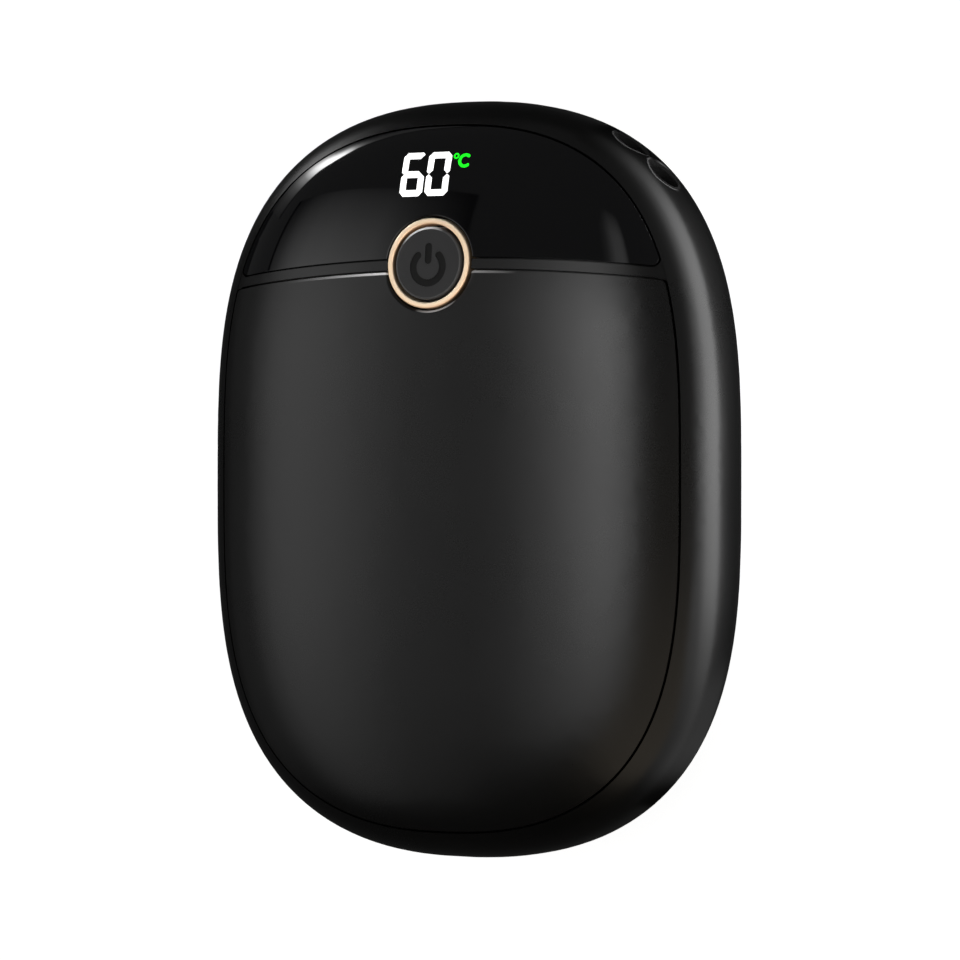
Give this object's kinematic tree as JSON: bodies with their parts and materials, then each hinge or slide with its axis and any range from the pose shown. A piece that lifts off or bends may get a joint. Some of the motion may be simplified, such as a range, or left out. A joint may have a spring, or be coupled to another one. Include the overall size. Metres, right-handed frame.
{
  "type": "rechargeable hand warmer",
  "caption": "Oval pebble-shaped electric hand warmer with crowned metal heat plates, a dark display window, a ringed push button, a strap anchor and a charging socket.",
  "frame": {"origin": "middle of the flat land on the rear plate that the part rests on", "axes": "+X across to the side with the strap anchor, +Y along to the display and charging end, +Z out of the front face"},
  "size_m": [0.071, 0.0959, 0.0277],
  "materials": {
    "band_black": "satin black moulded plastic",
    "plate_black": "matte black coat on aluminium",
    "window_gloss": "smoked black, polished",
    "rose_gold": "polished rose gold tint",
    "button_black": "satin black",
    "mark_grey": "flat dark fill",
    "tape_black": "adhesive tape",
    "film_amber": "polyimide heater film",
    "foam_grey": "closed-cell insulating foam",
    "cell_silver": "pouch foil",
    "tab_nickel": "nickel strip",
    "board_green": "solder mask",
    "screw_steel": "zinc plated",
    "tray_white": "natural white moulded plastic",
    "display_black": "matte black housing",
    "digit_white": "lit diffuser",
    "unit_green": "lit diffuser",
    "gasket_black": "light seal",
    "switch_black": "matte",
    "switch_steel": "stamped",
    "usb_steel": "drawn shell",
    "usb_core_black": "matte",
    "contact_gold": "gold plated",
    "chip_black": "moulded package",
    "coil_grey": "ferrite",
    "cap_tan": "chip ceramic",
    "lead_red": "wire insulation",
    "lead_black": "wire insulation",
    "lead_white": "wire insulation",
    "bead_dark": "coated bead"
  },
  "bodies": {
    "casing": {"frame": "band_black", "front_heat_plate": "plate_black", "rear_heat_plate": "plate_black", "display_window": "window_gloss", "front_plate_tape": "tape_black", "rear_plate_tape": "tape_black", "window_tape": "tape_black", "button_ring": "rose_gold", "switch_body": "switch_black", "switch_cover": "switch_steel", "switch_dome": "switch_steel", "main_board": "board_green", "board_screws": "screw_steel", "display_module": "display_black", "light_gasket": "gasket_black", "digit_segments": "digit_white", "unit_segments": "unit_green", "controller_chip": "chip_black", "power_coil": "coil_grey", "capacitors": "cap_tan", "usb_shell": "usb_steel", "usb_core": "usb_core_black", "usb_contacts": "contact_gold", "battery_cell": "cell_silver", "battery_tabs": "tab_nickel", "protection_board": "board_green", "battery_tray": "tray_white", "tray_screws": "screw_steel", "front_heating_film": "film_amber", "rear_heating_film": "film_amber", "front_foam": "foam_grey", "rear_foam": "foam_grey", "red_battery_lead": "lead_red", "black_battery_lead": "lead_black", "front_heater_leads": "lead_white", "rear_heater_leads": "lead_white", "thermistor": "bead_dark"},
    "button": {"power_button": "button_black", "power_mark": "mark_grey"},
    "plunger": {"switch_plunger": "switch_black"}
  },
  "joints": [
    {"name": "button_press", "type": "slide", "parent": "casing", "child": "button", "axis": [0, 0, -1], "range_m": [0, 0.0004], "stiffness_N_per_m": 4000},
    {"name": "plunger_press", "type": "slide", "parent": "casing", "child": "plunger", "axis": [0, 0, -1], "range_m": [0, 0.0004], "deforming": ["switch_dome"]}
  ],
  "couplings": [
    {"joint": "plunger_press", "follows": "button_press", "ratio": 1}
  ]
}
